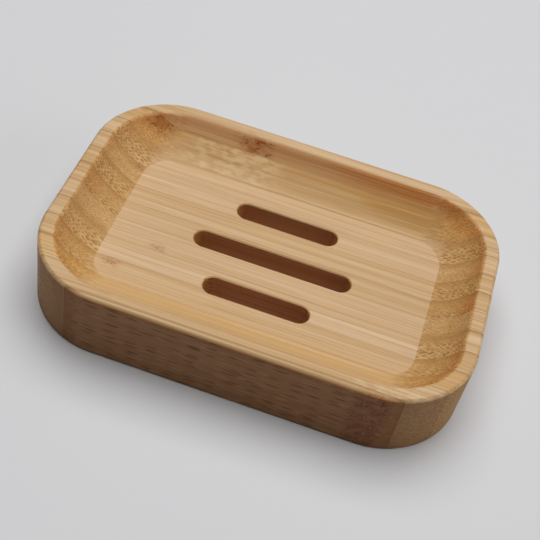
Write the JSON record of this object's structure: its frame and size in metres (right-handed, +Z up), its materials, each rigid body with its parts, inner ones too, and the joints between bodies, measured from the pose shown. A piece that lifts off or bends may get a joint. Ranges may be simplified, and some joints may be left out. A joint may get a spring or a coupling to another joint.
{
  "type": "soap dish",
  "caption": "Rounded rectangular laminated bamboo soap dish with a shallow hollowed basin and straight drain slots through its floor.",
  "frame": {"origin": "middle of the flat underside, at the height of the surface that the dish stands on", "axes": "+X along the laths and the drain slots, the long way; +Y across the laths to the far edge; +Z up out of the basin"},
  "size_m": [0.12, 0.082, 0.0215],
  "materials": {
    "bamboo_pale": "sanded, thin satin oil",
    "bamboo_honey": "sanded, thin satin oil",
    "bamboo_tan": "sanded, thin satin oil"
  },
  "bodies": {
    "root": {"near_lath_6": "bamboo_honey", "near_lath_5": "bamboo_pale", "near_lath_4": "bamboo_honey", "near_lath_3": "bamboo_tan", "near_lath_2": "bamboo_pale", "near_lath_1": "bamboo_honey", "middle_lath": "bamboo_tan", "far_lath_1": "bamboo_pale", "far_lath_2": "bamboo_honey", "far_lath_3": "bamboo_tan", "far_lath_4": "bamboo_pale", "far_lath_5": "bamboo_honey"}
  },
  "joints": []
}
